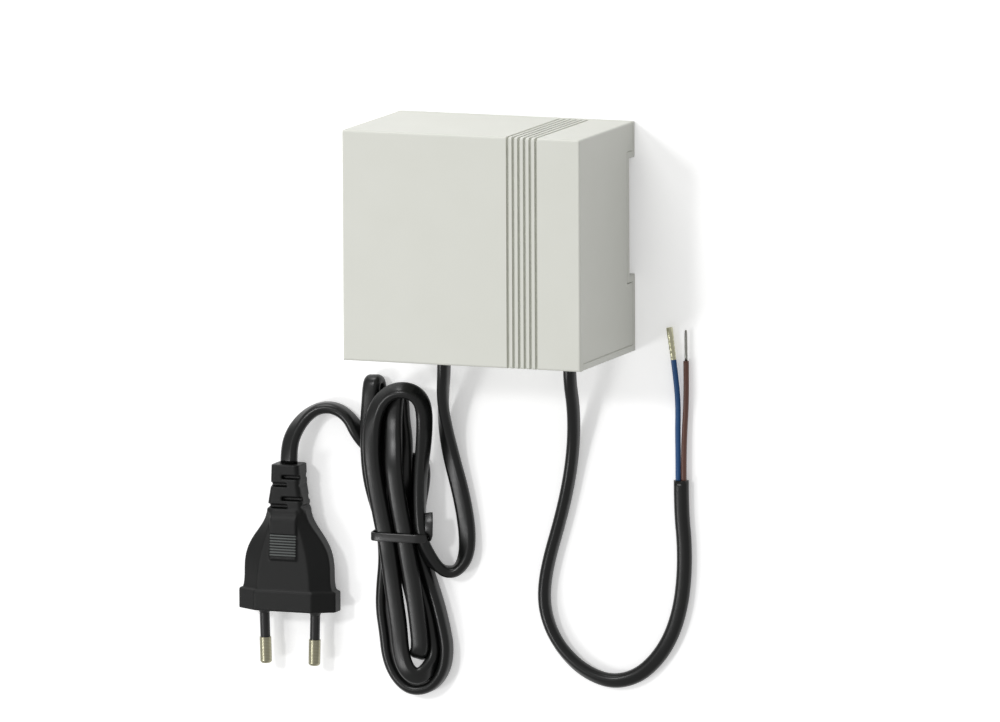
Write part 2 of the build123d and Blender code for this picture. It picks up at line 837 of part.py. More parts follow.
def thumb_pad():
    """Raised pad with grip ribs on the front of the plug."""
    neck_y = plug_top_y - relief_length
    front = plug_z + relief_thickness / 2
    lip_top = front + thumb_lip_height
    pad_low = lip_top - thumb_step
    start_y = neck_y - thumb_pad_start
    lip_y = start_y - thumb_lip_ramp
    step_y = lip_y - thumb_lip_length
    end_y = step_y - thumb_pad_length
    profile = [
        (start_y, plug_z),
        (start_y, front),
        (lip_y, lip_top),
        (step_y, lip_top),
        (step_y - thumb_step, pad_low),
        (end_y + thumb_pad_end, lip_top),
        (end_y, pad_low),
        (end_y, plug_z),
    ]
    half = thumb_pad_width / 2
    pad = side_prism(profile, plug_x - half, plug_x + half)
    slope = thumb_step / thumb_pad_length
    for index in range(thumb_rib_count):
        y = neck_y - thumb_rib_start - index * thumb_rib_pitch
        top = pad_low + thumb_rib_height + slope * (step_y - y)
        low_y = y - thumb_rib_width / 2
        high_y = y + thumb_rib_width / 2
        pad += block(plug_x - half, plug_x + half, low_y, high_y, plug_z, top)
    return pad


def plug_body():
    """Moulded plug: strain relief, waisted body and flange."""
    neck_y = plug_top_y - relief_length
    flange_y = neck_y - plug_body_length
    sections = []
    for share, half_w, half_t, half_flat, half_end in plug_stations:
        y = neck_y - share * plug_body_length
        sections.append(hexagon_section(y, half_w, half_t, half_flat, half_end))
    body = loft(sections)
    flange_face = hexagon_section(
        flange_y - flange_length,
        plug_flange_width / 2,
        plug_flange_thickness / 2,
        plug_flange_flat / 2,
        plug_flange_end / 2,
    )
    flange = extrude(flange_face, amount=flange_length)
    flange = fillet(flange.faces().sort_by(Axis.Y)[-1].edges(), plug_edge_radius)
    return body + flange + strain_relief() + thumb_pad() - pin_sockets()


def pin_frame(side):
    """Place and direction of one contact pin at the face of the plug."""
    face_y = plug_top_y - relief_length - plug_body_length - flange_length
    base_x = plug_x + side * pin_base_spacing / 2
    lean = side * (pin_tip_spacing - pin_base_spacing) / 2
    direction = Vector(lean, -pin_length, 0).normalized()
    return Vector(base_x, face_y, plug_z), direction


def pin_sockets():
    """Room for the stems of the pins in the plug."""
    sockets = []
    for side in (-1, 1):
        base, direction = pin_frame(side)
        sockets.append(rod(base - direction * sleeve_length, direction, pin_stem, sleeve_length + 1))
    return Compound(children=sockets)


def plug_pin(side):
    """Contact pin: thin stem in the sleeve and a full-size tip with a round end."""
    base, direction = pin_frame(side)
    stem = rod(base - direction * sleeve_length, direction, pin_stem, 2 * sleeve_length + 1)
    tip_length = pin_length - sleeve_length
    tip = Plane(origin=base + direction * sleeve_length, z_dir=direction) * (
        Pos(0, 0, tip_length / 2) * Cylinder(pin_diameter / 2, tip_length)
    )
    end_edge = tip.edges().filter_by(GeomType.CIRCLE).sort_by(Axis.Y)[0]
    return fillet(end_edge, pin_diameter / 4) + stem


def pin_sleeve(side):
    """Insulating sleeve with a flared root."""
    base, direction = pin_frame(side)
    root = Solid.make_cone(
        sleeve_root_diameter / 2,
        sleeve_diameter / 2,
        sleeve_root_length,
        Plane(origin=base, z_dir=direction),
    )
    sleeve = rod(base - direction, direction, sleeve_diameter, sleeve_length + 1) + root
    face = block(
        base.X - sleeve_root_diameter,
        base.X + sleeve_root_diameter,
        base.Y,
        base.Y + sleeve_root_diameter,
        0,
        2 * plug_z,
    )
    return sleeve - face - rod(base - direction * 2, direction, pin_stem, sleeve_length + 3)


def blue_ferrule():
    """Crimped ferrule on the end of the blue wire."""
    direction = run_direction(blue_route[-2], blue_route[-1])
    ferrule = rod(blue_route[-1], direction, ferrule_diameter, ferrule_length)
    for index in range(ferrule_crimps):
        start = Vector(*blue_route[-1]) + direction * (index + 1.5) * ferrule_crimp_pitch
        ring = rod(start, direction, 2 * ferrule_diameter, ferrule_crimp_width)
        waist = rod(start, direction, ferrule_diameter - 2 * ferrule_crimp_depth, ferrule_crimp_width)
        ferrule -= ring - waist
    return ferrule


def brown_pin():
    """Tinned end of the brown wire."""
    direction = run_direction(brown_route[-2], brown_route[-1])
    return rod(brown_route[-1], direction, brown_pin_diameter, brown_pin_length)


def cover_screws():
    """Four screws from the back into the posts of the cover."""
    model = screw(screw_thread, screw_head, screw_head_height, cover_screw_length)
    return [Pos(x, y, boss_head_depth) * Rot(180, 0, 0) * model for x, y in boss_places]


def core_screws():
    """Four screws through the core into the pillars of the base."""
    model = screw(core_screw_thread, core_screw_head, core_screw_head_height, core_screw_length)
    return [Pos(x, y, core_top) * model for x, y in core_hole_places]


def clamp_screws():
    """Two screws on each cord clamp."""
    model = screw(screw_thread, screw_head, screw_head_height, clamp_screw_length)
    seats = []
    for x, wide, thick in cord_exits():
        seats += clamp_screw_places(x, thick)
    return [seat * model for seat in seats]


def inner_wires():
    """The two cores of each cord inside the box."""
    mains_step = (flat_cord_width - flat_cord_thickness) / 2
    output_step = core_wire / 2 + wire_gap
    first_bend = tail_end_y + wire_bend_y
    second_bend = first_bend + 2 * mains_step
    starts = {
        "mains_wire_brown": (mains_exit_x, exit_height - mains_step, second_bend, pin_xs[0]),
        "mains_wire_blue": (mains_exit_x, exit_height + mains_step, first_bend, pin_xs[1]),
        "output_wire_brown": (output_exit_x - output_step, exit_height, first_bend, pin_xs[2]),
        "output_wire_blue": (output_exit_x + output_step, exit_height, first_bend, pin_xs[3]),
    }
    return {name: inner_wire(name, *place) for name, place in starts.items()}


def save(name, shape):
    """Writes one sub-part; a list becomes one group of separate solids."""
    if isinstance(shape, list):
        shape = Compound(children=shape)
    export_step(shape, f"parts/{name}.step")


def build():
    """Every sub-part by name."""
    lower, upper = chambers()
    (mains, output) = cord_exits()
    nodes = {
        "housing_base": housing_base(),
        "housing_cover": housing_cover(),
        "cover_screws": cover_screws(),
        "mains_grommet": grommet(*mains),
        "output_grommet": grommet(*output),
        "mains_cord_tail": cord_tail(*mains),
        "output_cable_tail": cord_tail(*output),
        "mains_clamp": clamp_bar(*mains),
        "output_clamp": clamp_bar(*output),
        "clamp_screws": clamp_screws(),
        "core_e_stack": core_e_stack(),
        "core_i_stack": core_i_stack(),
        "core_screws": core_screws(),
        "coil_bobbin": coil_bobbin(),
        "bobbin_pins": bobbin_pins(),
        "primary_winding": winding(lower),
        "secondary_winding": winding(upper),
        "primary_tape": winding_tape(lower),
        "secondary_tape": winding_tape(upper),
        "thermal_fuse": thermal_fuse(lower),
        "mains_cord": tube("mains_cord", mains_route, mains_tube),
        "cord_hank": cord_hank(),
        "plug_lead": tube("plug_lead", plug_route, mains_tube),
        "hank_tie": hank_tie(),
        "plug_body": plug_body(),
        "plug_pin_left": plug_pin(-1),
        "plug_pin_right": plug_pin(1),
        "pin_sleeve_left": pin_sleeve(-1),
        "pin_sleeve_right": pin_sleeve(1),
        "output_cable": tube("output_cable", output_route, round_cable),
        "blue_wire": tube("blue_wire", blue_route, core_wire),
        "brown_wire": tube("brown_wire", brown_route, core_wire),
        "blue_ferrule": blue_ferrule(),
        "brown_pin": brown_pin(),
    }
    nodes.update(inner_wires())
    return nodes


os.makedirs("parts", exist_ok=True)
for node_name, node_shape in build().items():
    save(node_name, node_shape)
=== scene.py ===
from math import copysign, cos, pi, radians, sin

import bmesh
import bpy
import numpy as np
from mathutils import Matrix, Vector


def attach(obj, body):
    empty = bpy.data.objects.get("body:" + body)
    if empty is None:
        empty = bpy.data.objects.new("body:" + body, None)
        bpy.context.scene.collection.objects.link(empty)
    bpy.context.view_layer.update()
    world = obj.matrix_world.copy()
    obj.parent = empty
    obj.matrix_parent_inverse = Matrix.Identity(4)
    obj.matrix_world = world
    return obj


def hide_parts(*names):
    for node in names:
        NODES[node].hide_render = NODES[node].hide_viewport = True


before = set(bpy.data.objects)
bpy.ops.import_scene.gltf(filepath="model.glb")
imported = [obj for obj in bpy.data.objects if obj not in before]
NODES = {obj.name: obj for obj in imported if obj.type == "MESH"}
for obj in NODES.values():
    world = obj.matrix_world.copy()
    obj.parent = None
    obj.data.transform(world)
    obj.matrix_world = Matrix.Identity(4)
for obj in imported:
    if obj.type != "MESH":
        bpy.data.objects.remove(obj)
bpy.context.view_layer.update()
MM = 0.001

# The camera looks at the housing's front corner from low on the right, through a long lens.
CAMERA_YAW = radians(20.840)
CAMERA_PITCH = radians(8.356)
CAMERA_ROLL = radians(0.252)
CAMERA_SHIFT_X = 5.73 * MM
CAMERA_SHIFT_Y = 44.12 * MM
CAMERA_DISTANCE = 5000 * MM
# Blender takes the sensor and the lens in millimetres.
SENSOR_WIDTH = 36
LENS_LENGTH = 533.52

# A route lists the places in metres by which a smooth line is drawn, with its STEPS points
# between two places. A fourth number is the angle in degrees of a flat section's wide axis
# from level, and None keeps the axis of the row before. A flat section has this many sides.
SECTION_SIDES = 32

# The mains lead is a flat cord. Its places were chosen along each pass that the
# photograph shows.
LEAD_WIDE = 6.2 * MM
LEAD_THICK = 3.8 * MM
LEAD_STEPS = 7
LEAD_ROUTE = (
    (-0.0216, -0.0405, 0.0130, 90), (-0.0216, -0.0475, 0.0130, 90), (-0.0236, -0.0565, 0.0092, 80),
    (-0.0244, -0.0665, 0.0054, 45), (-0.0229, -0.0780, 0.0033, 12), (-0.0194, -0.0910, 0.0028, 3),
    (-0.0174, -0.1030, 0.0026, 5), (-0.0176, -0.1115, 0.0028, 30), (-0.0206, -0.1170, 0.0032, 75),
    (-0.0246, -0.1176, 0.0039, 92), (-0.0276, -0.1158, 0.0052, 118),
    (-0.0300, -0.1124, 0.0072, 146), (-0.0320, -0.1055, 0.0089, 128),
    (-0.0323, -0.0959, 0.0089, 98), (-0.0320, -0.0829, 0.0086, 85), (-0.0311, -0.0721, 0.0074, 66),
    (-0.0307, -0.0628, 0.0078, 58), (-0.0314, -0.0580, 0.0093, 55), (-0.0343, -0.0552, 0.0103, 50),
    (-0.0389, -0.0547, 0.0106, 50), (-0.0433, -0.0565, 0.0104, 42), (-0.0470, -0.0605, 0.0098, 25),
    (-0.0492, -0.0676, 0.0094, 5), (-0.0493, -0.0768, 0.0095, 0), (-0.0480, -0.0880, 0.0096, 0),
    (-0.0454, -0.1005, 0.0100, 0), (-0.0437, -0.1083, 0.0099, 0), (-0.0429, -0.1170, 0.0088, 0),
    (-0.0419, -0.1267, 0.0081, 0), (-0.0405, -0.1359, 0.0081, 0), (-0.0394, -0.1437, 0.0083, 5),
    (-0.0379, -0.1498, 0.0086, 10), (-0.0354, -0.1531, 0.0084, 15), (-0.0322, -0.1533, 0.0074, 30),
    (-0.0303, -0.1505, 0.0056, 60), (-0.0294, -0.1459, 0.0040, 85), (-0.0295, -0.1402, 0.0033, 90),
    (-0.0309, -0.1317, 0.0032, 90), (-0.0338, -0.1226, 0.0032, 90), (-0.0377, -0.1135, 0.0034, 90),
    (-0.0396, -0.1056, 0.0039, 90), (-0.0399, -0.0963, 0.0044, 75), (-0.0396, -0.0879, 0.0052, 35),
    (-0.0396, -0.0803, 0.0058, 8), (-0.0408, -0.0731, 0.0036, 3), (-0.0415, -0.0665, 0.0022, 0),
    (-0.0417, -0.0607, 0.0020, 0), (-0.0420, -0.0565, 0.0024, None),
    (-0.0416, -0.0560, 0.0056, None), (-0.0423, -0.0595, 0.0062, 0), (-0.0425, -0.0666, 0.0068, 0),
    (-0.0415, -0.0741, 0.0092, 0), (-0.0410, -0.0811, 0.0098, 0), (-0.0403, -0.0883, 0.0098, 0),
    (-0.0393, -0.0954, 0.0098, 0), (-0.0376, -0.1035, 0.0100, 0), (-0.0365, -0.1114, 0.0096, 0),
    (-0.0352, -0.1201, 0.0088, 0), (-0.0340, -0.1297, 0.0083, 0), (-0.0331, -0.1379, 0.0080, 0),
    (-0.0326, -0.1434, 0.0080, 0), (-0.0329, -0.1459, 0.0069, None),
    (-0.0340, -0.1464, 0.0042, None), (-0.0347, -0.1439, 0.0031, 35),
    (-0.0352, -0.1388, 0.0031, 80), (-0.0366, -0.1296, 0.0031, 90), (-0.0392, -0.1177, 0.0033, 90),
    (-0.0432, -0.1058, 0.0039, 90), (-0.0444, -0.0954, 0.0046, 55), (-0.0444, -0.0867, 0.0057, 5),
    (-0.0449, -0.0788, 0.0057, 0), (-0.0467, -0.0723, 0.0038, 0), (-0.0484, -0.0661, 0.0023, 0),
    (-0.0494, -0.0604, 0.0020, 0), (-0.0499, -0.0563, 0.0020, 0), (-0.0502, -0.0532, 0.0025, None),
    (-0.0505, -0.0526, 0.0054, None), (-0.0509, -0.0558, 0.0059, 0), (-0.0512, -0.0610, 0.0059, 0),
    (-0.0514, -0.0682, 0.0058, 0), (-0.0511, -0.0768, 0.0057, 0), (-0.0503, -0.0853, 0.0056, 0),
    (-0.0492, -0.0950, 0.0047, 45), (-0.0472, -0.1060, 0.0039, 90), (-0.0470, -0.1147, 0.0033, 90),
    (-0.0480, -0.1233, 0.0031, 90), (-0.0483, -0.1313, 0.0031, 90), (-0.0470, -0.1395, 0.0031, 90),
    (-0.0462, -0.1473, 0.0031, 90), (-0.0438, -0.1534, 0.0031, 90), (-0.0395, -0.1578, 0.0031, 90),
    (-0.0348, -0.1587, 0.0031, 90), (-0.0300, -0.1564, 0.0031, 90), (-0.0262, -0.1507, 0.0031, 90),
    (-0.0247, -0.1437, 0.0031, 90), (-0.0259, -0.1369, 0.0031, 90), (-0.0282, -0.1285, 0.0031, 90),
    (-0.0312, -0.1197, 0.0032, 90), (-0.0341, -0.1105, 0.0036, 85), (-0.0357, -0.1037, 0.0037, 80),
    (-0.0352, -0.0952, 0.0033, 70), (-0.0344, -0.0883, 0.0030, 60), (-0.0343, -0.0835, 0.0028, 45),
    (-0.0357, -0.0807, 0.0024, 20), (-0.0402, -0.0805, 0.0021, 5), (-0.0464, -0.0788, 0.0020, 3),
    (-0.0518, -0.0759, 0.0020, 10), (-0.0566, -0.0716, 0.0031, 55), (-0.0600, -0.0662, 0.0031, 88),
    (-0.0650, -0.0632, 0.0032, 88), (-0.0706, -0.0634, 0.0037, 85), (-0.0754, -0.0666, 0.0048, 60),
    (-0.0791, -0.0719, 0.0060, 30), (-0.0806, -0.0775, 0.0068, 15), (-0.0806, -0.0826, 0.0068, 10),
)

# The passes of the hank press on each other where they were chosen too close. Rounds of small
# moves lay them apart, and the first and last places of the lead stay where they are.
LAY_ROUNDS = 150
LAY_FIXED_FIRST = 6
LAY_FIXED_LAST = 8
# The line is measured at this many points, and then has one sample for each step.
LAY_FINE = 5000
LAY_STEP = 1.0 * MM
# Samples closer than this along the lead are neighbours and never press on each other.
LAY_NEIGHBOURS = 12
# Two samples are compared at this many spots across the section, if they are no further
# apart than the width and this margin.
LAY_ACROSS = 9
LAY_MARGIN = 0.4 * MM
# Room between the lead and the floor.
LAY_FLOOR = 0.12 * MM
# Factor on the push of a round, and share of the way back to the chosen place in it.
LAY_PUSH = 1.6
LAY_PULL = 0.015

# The strap goes round the hank at its waist and ends in a bent tail on the right.
TIE_WIDE = 2.9 * MM
TIE_THICK = 0.75 * MM
TIE_STEPS = 10
TIE_ROUTE = (
    (-0.0293, -0.1053, 0.0100, 0), (-0.0303, -0.1053, 0.0125, 0),
    (-0.0350, -0.1053, 0.0128, None), (-0.0420, -0.1053, 0.0128, None),
    (-0.0474, -0.1053, 0.0126, None), (-0.0490, -0.1053, 0.0114, None),
    (-0.0496, -0.1053, 0.0065, None), (-0.0499, -0.1053, 0.0012, None),
    (-0.0484, -0.1053, 0.00045, None), (-0.0420, -0.1053, 0.00045, None),
    (-0.0345, -0.1053, 0.00045, None), (-0.0320, -0.1053, 0.0014, None),
    (-0.0298, -0.1053, 0.0052, None), (-0.0288, -0.1052, 0.0084, None),
    (-0.0285, -0.1036, 0.0104, 0), (-0.0283, -0.1010, 0.0107, 0),
    (-0.0284, -0.0986, 0.0104, 0), (-0.0288, -0.0966, 0.0095, 0),
)

# The plug's moulding is meshed anew in even faces, and rounds of smoothing soften its edges.
PLUG_X = -80.6 * MM
PLUG_VOXEL = 0.3 * MM
SMOOTH_SHARE = 0.5
SMOOTH_ROUNDS = 4
# Its sleeve grows narrower by this share from its foot towards the lead.
SLEEVE_FOOT_Y = -100 * MM
SLEEVE_TAPER = 10 * MM
SLEEVE_NARROWING = 0.2

# The grip ribs stand on the pad on the front of the plug, each a little higher than the one
# before.
RIB_COUNT = 8
RIB_PITCH = 0.95 * MM
RIB_WIDTH = 0.5 * MM
RIB_LENGTH = 9.5 * MM
RIB_HEIGHT = 1.0 * MM
RIB_TOP = 13.12 * MM
RIB_RISE = 0.06 * MM
RIB_FIRST_Y = -106.7 * MM
RIB_EDGE = 0.14 * MM

# The metal wire ends are turned in this many steps.
TURN_STEPS = 24
# Radius and distance from the root along each wire end, in millimetres.
FERRULE_PROFILE = (
    (0.80, -0.2), (0.92, 0.0), (0.96, 0.9), (0.88, 1.1), (0.90, 1.5), (1.00, 1.8), (1.02, 2.6),
    (0.90, 2.9), (0.91, 3.3), (1.03, 3.6), (1.04, 4.4), (0.92, 4.7), (0.93, 5.1), (1.05, 5.4),
    (1.05, 6.2), (0.94, 6.5), (0.95, 6.9), (1.06, 7.2), (1.07, 8.2), (1.10, 9.8), (1.10, 10.8),
    (1.00, 11.0), (0.80, 11.0), (0.74, 10.7), (0.0, 10.6),
)
STRAND_PROFILE = (
    (0.50, 0.0), (0.53, 1.6), (0.49, 3.1), (0.52, 4.7), (0.48, 6.2), (0.50, 7.8), (0.46, 9.2),
    (0.42, 10.1), (0.28, 10.5), (0.0, 10.6),
)

# The output cable is a little oval. It leaves edge-on and lies flat at its far end.
OUTPUT_WIDE = 5.2 * MM
OUTPUT_THICK = 4.1 * MM
OUTPUT_STEPS = 10
OUTPUT_ROUTE = (
    (0.0236, -0.0405, 0.0130, 90), (0.0236, -0.0480, 0.0130, 90), (0.0234, -0.0575, 0.0089, 90),
    (0.0222, -0.0675, 0.0051, 90), (0.0206, -0.0780, 0.0032, 90), (0.0184, -0.0890, 0.0027, 90),
    (0.0155, -0.1000, 0.0027, 90), (0.0126, -0.1095, 0.0027, 90), (0.0105, -0.1190, 0.0027, 90),
    (0.0103, -0.1275, 0.0027, 85), (0.0128, -0.1358, 0.0027, 75), (0.0176, -0.1431, 0.0026, 60),
    (0.0250, -0.1492, 0.0026, 45), (0.0343, -0.1523, 0.0025, 30), (0.0433, -0.1501, 0.0024, 20),
    (0.0503, -0.1442, 0.0023, 10), (0.0557, -0.1360, 0.0022, 0), (0.0591, -0.1260, 0.0022, 0),
    (0.0606, -0.1148, 0.0022, 0), (0.0607, -0.1035, 0.0022, 0), (0.0596, -0.0925, 0.0022, 0),
    (0.0596, -0.0820, 0.0022, 0),
)

# The two cores of the output cable are round.
WIRE_DIAMETER = 1.9 * MM
WIRE_STEPS = 12
WIRE_BEVEL = 6
BLUE_ROUTE = (
    (0.0586, -0.0820, 0.0024), (0.0586, -0.0736, 0.0024), (0.0584, -0.0653, 0.0022),
    (0.0585, -0.0570, 0.0020), (0.0579, -0.0490, 0.0019), (0.0568, -0.0412, 0.0018),
)
BROWN_ROUTE = (
    (0.0606, -0.0820, 0.0024), (0.0606, -0.0734, 0.0024), (0.0608, -0.0652, 0.0021),
    (0.0613, -0.0570, 0.0020), (0.0614, -0.0488, 0.0019), (0.0613, -0.0414, 0.0018),
)

# Points of a mesh that are closer than this are one point.
MERGE_GAP = 0.001 * MM

# Size of the soft cloudy change of colour that moulded and rolled surfaces have.
CLOUD_SIZE = 14 * MM
CLOUD_DETAIL = 2
GRAIN_DETAIL = 3
# The wave texture has one line for each 20 units divided by pi of its scale.
WAVE_TURN = pi / 10
# Lines are a little uneven, and duller in the grooves than on the crests.
LINE_UNEVEN = 0.4
GROOVE_DULLER = 0.08
CREST_BRIGHTER = 0.05

# The floor is white to the camera and in reflections, and pale grey to the light on the object.
# Its glow lifts the white part, so that the object's shadow stays light.
FLOOR_SIZE = 4
FLOOR_CELLS = 4
FLOOR_DROP = 0.1 * MM
FLOOR_PALE = 0.66
FLOOR_GLOW = 0.3
FLOOR_ROUGHNESS = 0.9
WHITE = (1, 1, 1, 1)
WORLD_LEVEL = 0.5

# The lamps point at this place on the object. Each has its place from there, its width and
# height and its power. The key lamp stands beyond the top edge, so that the top is the lightest
# side. The front lamp and the low side lamp draw the bright lines on the cords.
AIM = Vector((-0.01, -0.05, 0.01))
LAMPS = {
    "key_lamp": ((-0.66, 1.98, 0.66), (1.0, 1.0), 18.2),
    "front_lamp": ((-0.70, 0.60, 1.80), (0.22, 0.22), 8.5),
    "side_lamp": ((-0.86, -0.44, 1.15), (0.25, 0.42), 4),
}


def make_camera():
    """Camera at the photograph's angle."""
    turn = (
        Matrix.Rotation(CAMERA_ROLL, 4, "Z")
        @ Matrix.Rotation(CAMERA_PITCH, 4, "X")
        @ Matrix.Rotation(-CAMERA_YAW, 4, "Y")
    )
    shift = Matrix.Translation((CAMERA_SHIFT_X, CAMERA_SHIFT_Y, -CAMERA_DISTANCE))
    data = bpy.data.cameras.new("camera")
    data.sensor_width = SENSOR_WIDTH
    data.lens = LENS_LENGTH
    camera = bpy.data.objects.new("camera", data)
    camera.matrix_world = (shift @ turn).inverted()
    bpy.context.scene.collection.objects.link(camera)
    bpy.context.scene.camera = camera


def srgb(code):
    """Linear colour of a six digit sRGB hex value."""
    parts = [int(code[place : place + 2], 16) / 255 for place in (0, 2, 4)]
    linear = [p / 12.92 if p <= 0.04045 else ((p + 0.055) / 1.055) ** 2.4 for p in parts]
    return (*linear, 1)


def add_node(tree, kind, settings=None, inputs=None):
    """Adds a node, with its settings and with values or links on its inputs."""
    node = tree.nodes.new(kind)
    for name, value in (settings or {}).items():
        setattr(node, name, value)
    for name, value in (inputs or {}).items():
        if isinstance(value, bpy.types.NodeSocket):
            tree.links.new(value, node.inputs[name])
        else:
            node.inputs[name].default_value = value
    return node


def start_material(name, **sockets):
    """Material with one surface shader whose constants are set on its own sockets."""
    material = bpy.data.materials.new(name)
    material.use_nodes = True
    shader = material.node_tree.nodes["Principled BSDF"]
    for socket, value in sockets.items():
        shader.inputs[socket.replace("_", " ")].default_value = value
    place = add_node(material.node_tree, "ShaderNodeTexCoord").outputs["Object"]
    return material, material.node_tree, shader, place


def grained(name, dark, light, roughness, grain_mm, depth_mm, spread=0.06, **sockets):
    """Finish with a fine grain in its height and gloss, and a soft cloudy change of colour.

    The colours are sRGB hex values. The grain has a size and a depth, and spread is how far
    it takes the roughness up and down.
    """
    material, tree, shader, place = start_material(name, **sockets)
    grain = add_node(
        tree,
        "ShaderNodeTexNoise",
        inputs={"Vector": place, "Scale": 1 / (grain_mm * MM), "Detail": GRAIN_DETAIL},
    ).outputs["Fac"]
    cloud = add_node(
        tree,
        "ShaderNodeTexNoise",
        inputs={"Vector": place, "Scale": 1 / CLOUD_SIZE, "Detail": CLOUD_DETAIL},
    ).outputs["Fac"]
    tint = add_node(
        tree,
        "ShaderNodeMix",
        {"data_type": "RGBA"},
        {"Factor": cloud, "A": srgb(dark), "B": srgb(light)},
    )
    tree.links.new(tint.outputs["Result"], shader.inputs["Base Color"])
    gloss = add_node(
        tree,
        "ShaderNodeMapRange",
        inputs={"Value": grain, "To Min": roughness - spread, "To Max": roughness + spread},
    )
    tree.links.new(gloss.outputs["Result"], shader.inputs["Roughness"])
    bump = add_node(
        tree,
        "ShaderNodeBump",
        inputs={"Height": grain, "Strength": 1, "Distance": depth_mm * MM},
    )
    tree.links.new(bump.outputs["Normal"], shader.inputs["Normal"])
    return material


def striped(name, dark, light, roughness, pitch_mm, axis, depth_mm, **sockets):
    """Finish with fine even lines across one axis, as sheets or turns laid side by side.

    The grooves have the dark colour and the crests the light one.
    """
    material, tree, shader, place = start_material(name, **sockets)
    lines = add_node(
        tree,
        "ShaderNodeTexWave",
        {"wave_type": "BANDS", "bands_direction": axis},
        {"Vector": place, "Scale": WAVE_TURN / (pitch_mm * MM), "Distortion": LINE_UNEVEN},
    ).outputs["Fac"]
    tint = add_node(
        tree,
        "ShaderNodeMix",
        {"data_type": "RGBA"},
        {"Factor": lines, "A": srgb(dark), "B": srgb(light)},
    )
    tree.links.new(tint.outputs["Result"], shader.inputs["Base Color"])
    gloss = add_node(
        tree,
        "ShaderNodeMapRange",
        inputs={
            "Value": lines,
            "To Min": roughness + GROOVE_DULLER,
            "To Max": roughness - CREST_BRIGHTER,
        },
    )
    tree.links.new(gloss.outputs["Result"], shader.inputs["Roughness"])
    bump = add_node(
        tree,
        "ShaderNodeBump",
        inputs={"Height": lines, "Strength": 1, "Distance": depth_mm * MM},
    )
    tree.links.new(bump.outputs["Normal"], shader.inputs["Normal"])
    return material


def new_piece(name, mesh_or_curve, material):
    """Object at the origin, riding on the part's one body."""
    piece = bpy.data.objects.new(name, mesh_or_curve)
    bpy.context.scene.collection.objects.link(piece)
    piece.data.materials.append(material)
    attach(piece, "root")
    return piece


def spline_line(places, steps):
    """Points read from the smooth line that has these places as its control points."""
    curve = bpy.data.curves.new("line", "CURVE")
    curve.dimensions = "3D"
    fill_spline(curve, places, steps)
    holder = bpy.data.objects.new("line", curve)
    mesh = bpy.data.meshes.new_from_object(holder)
    line = [vertex.co.copy() for vertex in mesh.vertices]
    bpy.data.objects.remove(holder)
    bpy.data.curves.remove(curve)
    bpy.data.meshes.remove(mesh)
    return line


def fill_spline(curve, places, steps):
    """One open spline through the curve's control places."""
    spline = curve.splines.new("NURBS")
    spline.points.add(len(places) - 1)
    for point, place in zip(spline.points, places):
        point.co = (*place, 1)
    spline.order_u = 3
    spline.use_endpoint_u = True
    curve.resolution_u = steps


def wide_axes(route):
    """Direction of a flat section's wide axis at each point of its route."""
    found = []
    for index, (*_, twist) in enumerate(route):
        before = Vector(route[max(index - 1, 0)][:3])
        after = Vector(route[min(index + 1, len(route) - 1)][:3])
        along = (after - before).normalized()
        if twist is None:
            wide = found[-1].copy()
        else:
            level = Vector((0, 0, 1)).cross(along).normalized()
            wide = level * cos(radians(twist)) + along.cross(level) * sin(radians(twist))
        wide = (wide - along * wide.dot(along)).normalized()
        if found and wide.dot(found[-1]) < 0:
            wide.negate()
        found.append(wide)
    return found


def line_shares(along, count):
    """Share that each control place has in the points of the smooth line.

    The line is the one that fill_spline draws: quadratic, with knots one apart and both ends
    on their places. The points are given by how many knots lie before them.
    """
    knots = np.concatenate(([0, 0], np.arange(count - 1), [count - 2, count - 2]))
    at = along[:, None]
    shares = ((knots[:-1] <= at) & (at < knots[1:])).astype(float)
    for degree in (1, 2):
        span = knots[degree:] - knots[:-degree]
        rise = (at - knots[:-degree]) / np.maximum(span, 1)
        shares = shares[:, :-1] * rise[:, :-1] + shares[:, 1:] * (1 - rise[:, 1:])
    return shares


def unit(vectors):
    """Vectors of the same directions with a length of one."""
    return vectors / np.linalg.norm(vectors, axis=-1, keepdims=True)


def touching(centres, axes, wide, thick):
    """Pairs of samples of a flat cord that press into each other, and the push on the first."""
    apart = np.linalg.norm(centres[:, None] - centres, axis=2)
    first, second = np.nonzero(np.triu(apart < wide + LAY_MARGIN, LAY_NEIGHBOURS))
    across = np.linspace(-1, 1, LAY_ACROSS)[:, None] * (wide - thick) / 2
    spots = centres[:, None] + axes[:, None] * across
    between = (spots[first][:, :, None] - spots[second][:, None]).reshape(len(first), -1, 3)
    gaps = np.linalg.norm(between, axis=2)
    nearest = gaps.argmin(axis=1)[:, None]
    gap = np.take_along_axis(gaps, nearest, 1)
    way = np.take_along_axis(between, nearest[:, :, None], 1)[:, 0]
    press = gap[:, 0] < thick
    push = (way / np.maximum(gap, MERGE_GAP) * (thick - gap) / 2)[press]
    return first[press], second[press], push


